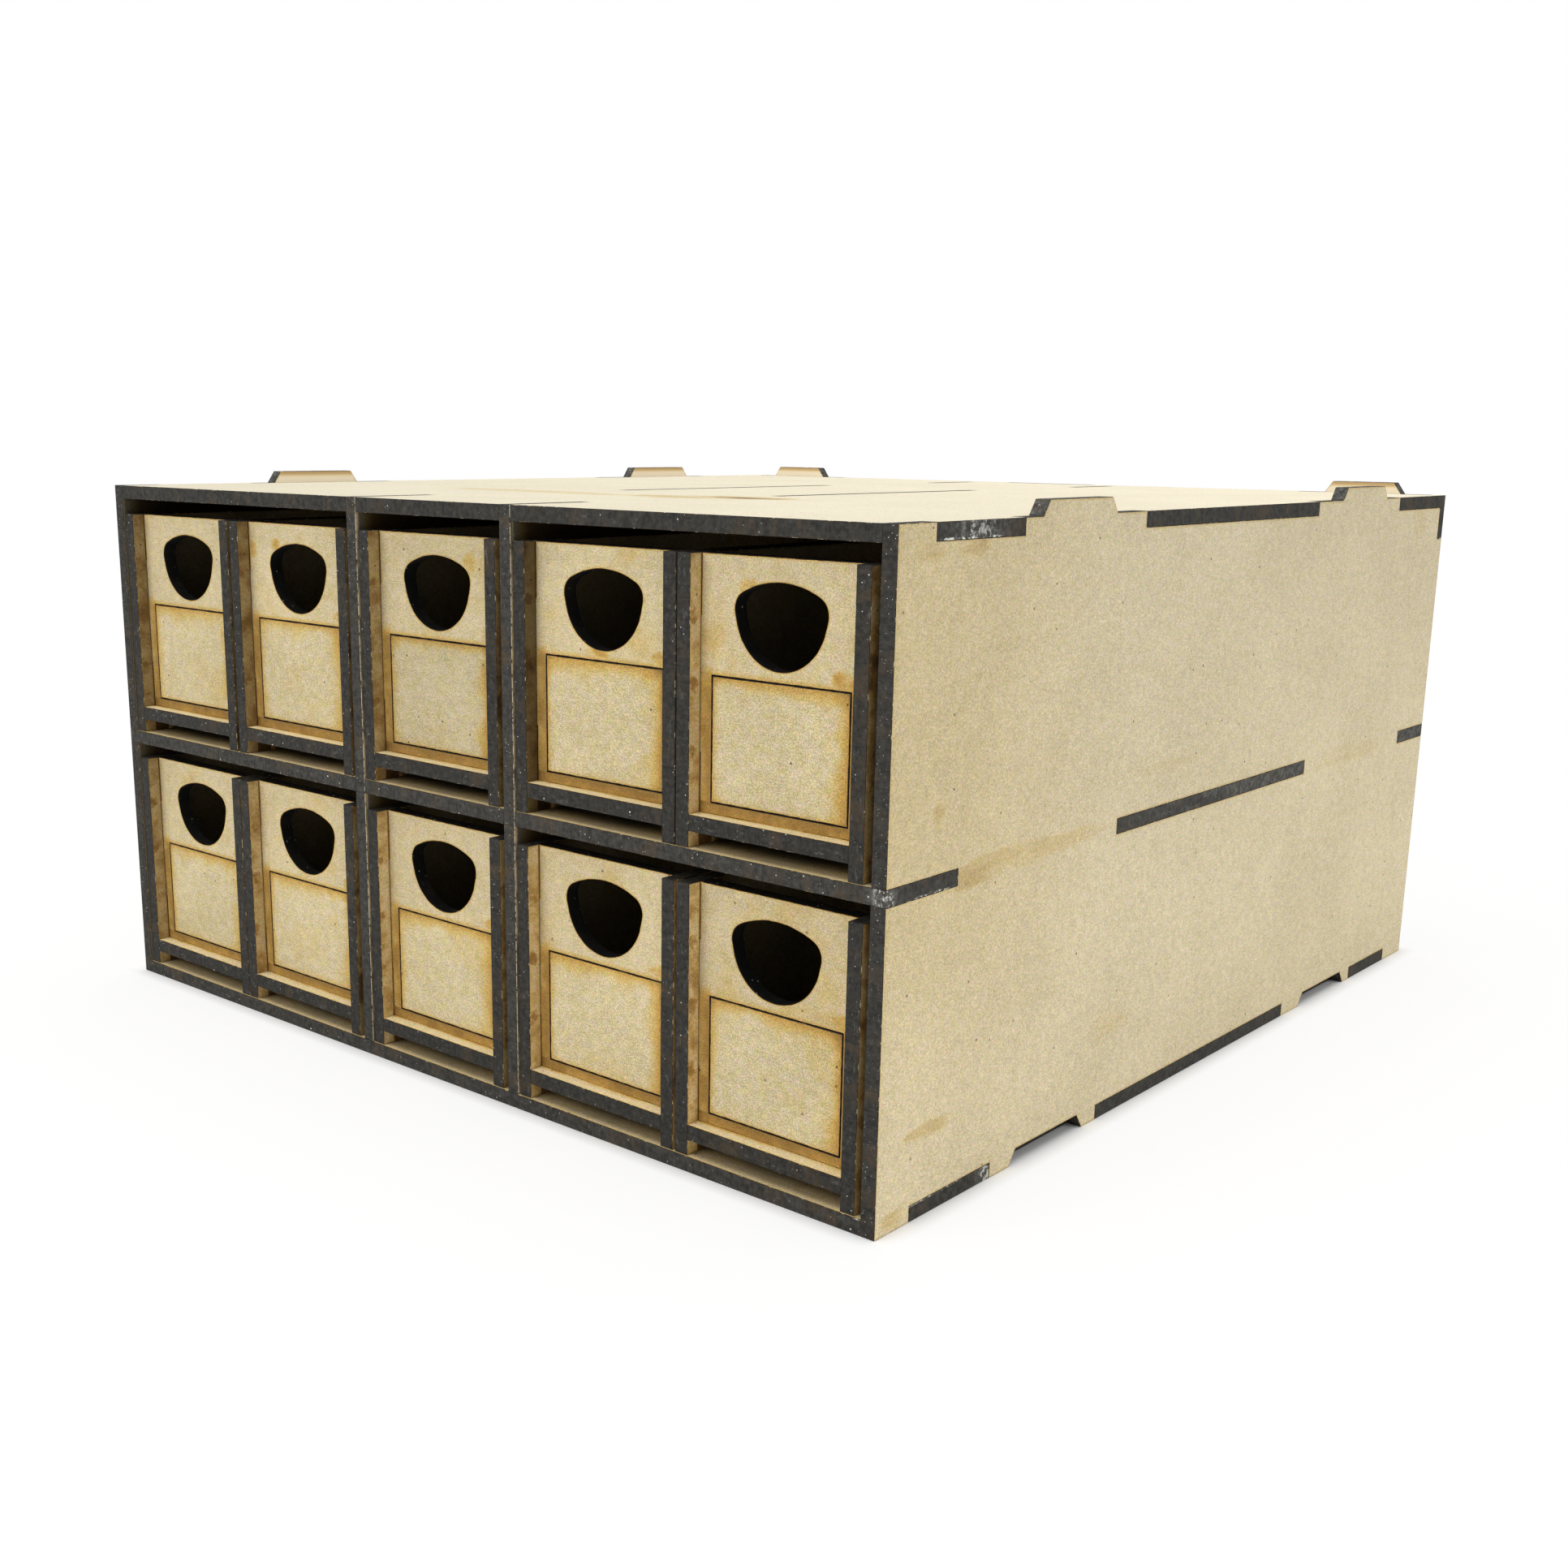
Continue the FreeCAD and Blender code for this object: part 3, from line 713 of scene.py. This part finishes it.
def wall_scorch(finish, at):
    """Brown smoke, with darker spots where the front sheet's tabs end in the wall."""
    across, depth, height = finish.place()
    outer = finish.above(finish.calc("ABSOLUTE", across), WALL_MIDDLE)
    smoke = finish.ramp(depth, 12.0, 6.0, 0.12, 0.6)
    smoke = finish.ramp(finish.noise(at, 0.16, 3, 0.65), 0.4, 0.7, 0.0, smoke)
    browner = finish.most(finish.times(finish.attribute("tone"), -0.04), 0.0)
    browner = finish.times(browner, wall_lip(finish))
    outside = finish.times(outer, finish.ramp(depth, 20.0, 5.0, 0.04, 0.3))
    smoke = finish.calc("ADD", smoke, finish.most(browner, outside))
    ragged = finish.patchy(at, 0.5, 3, 0.6, -0.7, 0.7)
    tab_ends = [((0.8, level), (1.5, 1.5), 0.72) for level in (16.4, 28.5, 40.4)]
    smoke = marked_with(finish, depth, height, ragged, (1.4, -0.2), tab_ends, smoke)
    before = finish.ramp(depth, FRONT_SETBACK - 0.5, FRONT_SETBACK - 0.1)
    joint = finish.calc("SUBTRACT", before, finish.ramp(depth, FRONT_BACK + 0.1, FRONT_BACK + 0.4))
    return finish.most(smoke, finish.times(joint, 0.92))


def wall_painted_shade(finish, at):
    """Painted shade behind the front sheet, and some on the outer faces deeper in the gaps."""
    across, depth, height = finish.place()
    outer = finish.above(finish.calc("ABSOLUTE", across), WALL_MIDDLE)
    inside = drawer_painted_shade(finish, depth)
    outside = finish.ramp(depth, 1.5, 4.0, 0.4, 0.95)
    outside = finish.times(outside, finish.ramp(depth, 15.0, 5.0, 0.04, 1.0))
    return finish.calc("ADD", inside, finish.times(outer, finish.calc("SUBTRACT", outside, inside)))


wall_board = laser_cut_board(
    "Wall board",
    "x",
    (214, 193, 148),
    wall_scorch,
    wall_painted_shade,
    toned=wall_lip,
    smoke=BROWN_SMOKE,
    arris=0.4,
    specks=0.38,
)
drawers = {}
for row in ("upper", "lower"):
    for column in range(1, 6):
        low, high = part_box(f"drawer_{row}_{column}_walls")
        front_foot = Vector(((low.x + high.x) / 2, low.y, low.z))
        drawers[f"drawer_{row}_{column}"] = front_foot
for (drawer, front_foot), tone in zip(drawers.items(), WALL_TONES):
    node, name = drawer + "_walls", "Walls_" + drawer
    cut_sheet(node, name, "x", drawer, wall_board, front_foot, tone)

# The drawer's floor hangs between the walls, 3 mm above the plate. Its charred front edge is the
# drawer's lower lip, and a cream strip of it shows before the front sheet.


def floor_scorch(finish, at):
    """Brown close to the foot of the front sheet."""
    depth = finish.place()[1]
    near = finish.ramp(depth, FRONT_SETBACK - 1.2, FRONT_SETBACK, 0.0, 0.6)
    near = finish.times(near, finish.ramp(depth, FRONT_BACK + 2.0, FRONT_BACK))
    return finish.times(near, finish.ramp(finish.noise(at, 0.15, 3), 0.35, 0.65, 0.2, 1.0))


def floor_painted_shade(finish, at):
    """The painted shade behind the finger hole."""
    return drawer_painted_shade(finish, finish.place()[1])


floor_board = laser_cut_board(
    "Drawer floor board", "z", (230, 214, 172), floor_scorch, floor_painted_shade, specks=0.36
)
for drawer, front_foot in drawers.items():
    node, name = drawer + "_floor", "Floor_" + drawer
    cut_sheet(node, name, "z", drawer, floor_board, front_foot)

# The front sheet stands 3 mm behind the walls' edges, with a finger hole and the window from which
# the label plate was cut. The land beside and below that window is burnt golden brown.

WINDOW_HALF = 14.9
WINDOW_LOW = 8.0
WINDOW_HIGH = 30.3
FRONT_TONES = (-0.3, 0.0, -0.5, 0.0, 0.0, 0.0, 0.1, 0.0, 0.1, -0.3)


def front_scorch(finish, at):
    """Golden brown beside and below the window, and smudges above its corners and by the hole."""
    across, depth, height = finish.place()
    drift = finish.patchy(at, 0.18, 2, 0.55, -0.6, 0.8)
    beside = finish.calc("SUBTRACT", finish.calc("ABSOLUTE", across), WINDOW_HALF)
    below = finish.calc("SUBTRACT", WINDOW_LOW, height)
    above = finish.calc("SUBTRACT", height, WINDOW_HIGH)
    land = finish.times(finish.ramp(above, -0.2, 0.0), finish.ramp(above, 1.3, 0.0, 0.0, 0.4))
    lower = finish.ramp(above, -1.0, 2.5, 1.0, 0.0)
    for past, bound, reach, strength in ((beside, lower, 4.4, 0.76), (below, 1.0, 6.0, 0.80)):
        fade = finish.ramp(finish.calc("ADD", past, drift), reach, 0.2, 0.0, strength)
        land = finish.most(land, finish.times(fade, finish.ramp(past, -0.3, 0.0), bound))
    ragged = finish.patchy(at, 0.35, 3, 0.6, -0.5, 0.6)
    above_corner = (((15.5, 32.0), (3.6, 1.6), 0.42),)
    land = marked_with(finish, across, height, ragged, (1.3, 0.1), above_corner, land)
    x, z = finish.apart(at)[0], finish.apart(at)[1]
    smudges = (
        ((79.3, 106.3), (2.4, 1.4), 0.34),
        ((80.4, 106.1), (1.0, 0.7), 0.72),
        ((100.0, 92.4), (3.0, 1.8), 0.60),
        ((-53.4, 106.6), (2.2, 1.4), 0.55),
        ((-62.4, 106.0), (1.6, 2.2), 0.42),
        ((8.9, 105.9), (2.0, 2.6), 0.34),
        ((44.6, 92.2), (3.6, 1.2), 0.60),
        ((49.9, 48.8), (1.8, 1.4), 0.55),
    )
    land = marked_with(finish, x, z, ragged, (1.3, -0.1), smudges, land)
    clouds = finish.ramp(finish.noise(at, 0.11, 2, 0.5), 0.5, 0.8, 0.0, 0.22)
    return finish.most(land, clouds)


def front_painted_shade(finish, at):
    """Painted shade on the back of the sheet and of the label plate, inside the drawer."""
    return finish.times(finish.above(finish.place()[1], FRONT_BACK - 1.0), 0.9)


# Char 0.22 darkens its cut edges nearly to black: painted shade inside the finger hole, which darkens the
# outline and the top edge too.
front_board = laser_cut_board(
    "Front board",
    "y",
    (204, 188, 149),
    front_scorch,
    front_painted_shade,
    rim=0.5,
    kerf=2.2,
    grain=0.55,
    char=0.22,
    arris=0.0,
)
for (drawer, front_foot), tone in zip(drawers.items(), FRONT_TONES):
    node, name = drawer + "_front", "Front_" + drawer
    cut_sheet(node, name, "y", drawer, front_board, front_foot, tone)

# The label plate is the piece cut out of the front and set back into its window, with a fine dark
# line all round. Gold smoke fades inwards from its upper and right edges.

PLATE_HALF = 14.75
PLATE_LOW = 8.15
PLATE_HIGH = 30.15
LABEL_TONES = (-0.2, -0.3, -1.5, 0.0, -0.2, 0.0, 0.1, 0.1, 0.4, 0.0)


def label_scorch(finish, at):
    """Gold that fades inwards from the plate's edges, widest at the right and the top."""
    across, depth, height = finish.place()
    drift = finish.patchy(at, 0.13, 3, 0.55, 0.5, 1.4)
    burn = finish.ramp(finish.noise(at, 0.10, 2, 0.5), 0.5, 0.8, 0.0, 0.13)
    for inward, reach, strength in (
        (finish.calc("SUBTRACT", PLATE_HALF, across), 7.5, 1.0),
        (finish.calc("SUBTRACT", PLATE_HIGH, height), 6.0, 0.9),
        (finish.calc("ADD", across, PLATE_HALF), 3.5, 0.7),
        (finish.calc("SUBTRACT", height, PLATE_LOW), 2.2, 0.45),
    ):
        far = finish.calc("DIVIDE", inward, finish.times(drift, reach))
        fade = finish.times(finish.calc("POWER", finish.ramp(far, 1.0, -0.3), 2.5), strength)
        burn = finish.calc("MULTIPLY_ADD", fade, finish.calc("SUBTRACT", 1.0, burn), burn)
    return burn


label_board = laser_cut_board(
    "Label board",
    "y",
    (205, 190, 151),
    label_scorch,
    front_painted_shade,
    rim=0.7,
    kerf=2.2,
    grain=0.65,
    char=0.22,
    arris=0.0,
)
for (drawer, front_foot), tone in zip(drawers.items(), LABEL_TONES):
    node, name = drawer + "_label", "Label_" + drawer
    cut_sheet(node, name, "y", drawer, label_board, front_foot, tone)

# The rear sheet closes the trough. It is plain fibreboard like the rest, tabbed into the walls as
# the front sheet is.

rear_board = laser_cut_board("Rear board", "y", (186, 168, 128))
for drawer, front_foot in drawers.items():
    node, name = drawer + "_rear", "Rear_" + drawer
    cut_sheet(node, name, "y", drawer, rear_board, front_foot)

# The floor is a plain white sweep of paper. The camera sees it nearly as paper white, a little less
# so close to the box, where it keeps a soft contact shadow.

SWEEP = 6.0
WHITE = (1.0, 1.0, 1.0, 1.0)
BLACK = (0.0, 0.0, 0.0, 1.0)
PAPER = (0.86, 0.86, 0.85, 1.0)

bpy.ops.mesh.primitive_plane_add(size=SWEEP)
ground = bpy.context.object
ground.name = "Ground"
paper = bpy.data.materials.new("Ground paper")
finish = Finish(paper)
finish.tree.nodes.clear()
places = finish.node("TexCoord", {}).outputs["Object"]
sides = finish.node("VectorMath", {0: places}, operation="ABSOLUTE").outputs[0]
half_size = (cad_box[1].x, cad_box[1].y, 0.0)
past = finish.node("VectorMath", {0: sides, 1: half_size}, operation="SUBTRACT").outputs[0]
outside = finish.most(finish.apart(past)["X"], finish.apart(past)["Y"])
whiter = finish.node("ValToRGB", {"Fac": outside})
stops = whiter.color_ramp.elements
stops[0].color = BLACK
stops[1].color = WHITE
for reach, share in ((0.002, 0.8), (0.08, 0.9), (0.4, 1.0)):
    stops.new(reach).color = (share, share, share, 1.0)
seen = finish.times(finish.node("LightPath", {}).outputs["Is Camera Ray"], whiter.outputs["Color"])
matt = finish.node("BsdfDiffuse", {"Color": PAPER}).outputs[0]
glow = finish.node("Emission", {"Color": WHITE}).outputs[0]
mixed = finish.node("MixShader", {0: seen, 1: matt, 2: glow}).outputs[0]
finish.node("OutputMaterial", {"Surface": mixed})
ground.data.materials.append(paper)

# Soft studio light: a pale tent all round, which the camera sees as plain white, a wide panel
# overhead and two weaker ones, at the front and at the right.

world = bpy.data.worlds.new("Tent")
finish = Finish(world)
finish.tree.nodes.clear()
tent = finish.node("Background", {"Color": WHITE, "Strength": 0.50}).outputs[0]
white = finish.node("Background", {"Color": WHITE}).outputs[0]
camera_ray = finish.node("LightPath", {}).outputs["Is Camera Ray"]
mixed = finish.node("MixShader", {0: camera_ray, 1: tent, 2: white}).outputs[0]
finish.node("OutputWorld", {"Surface": mixed})
bpy.context.scene.world = world

BOX_MIDDLE = Vector((0.0, 0.0, 0.05))
for name, place, size, power in (
    ("Overhead panel", (0.0, 0.0, 1.5), 1.6, 18.0),
    ("Front panel", (-0.5, -1.4, 1.0), 0.9, 9.0),
    ("Side panel", (1.5, 0.2, 1.0), 0.9, 5.0),
):
    lamp = bpy.data.lights.new(name, "AREA")
    lamp.shape = "SQUARE"
    lamp.size = size
    lamp.energy = power
    holder = bpy.data.objects.new(name, lamp)
    holder.location = place
    holder.rotation_euler = (BOX_MIDDLE - Vector(place)).to_track_quat("-Z", "Y").to_euler()
    bpy.context.scene.collection.objects.link(holder)

# The camera stands to the right of the front, a little above the top, as in the photograph. Its
# shift only frames the box as the photograph does.

camera = bpy.data.cameras.new("Camera")
camera.sensor_width = 36.0
camera.lens = 40.369
camera.shift_x = 0.0498
camera.shift_y = 0.0385
camera.clip_start = 0.01
stand = bpy.data.objects.new("Camera", camera)
stand.location = (0.26868, -0.33927, 0.13098)
stand.rotation_euler = [math.radians(angle) for angle in (76.862, -0.5794, 41.4619)]
bpy.context.scene.collection.objects.link(stand)
bpy.context.scene.camera = stand
bpy.context.scene.view_settings.view_transform = "Standard"
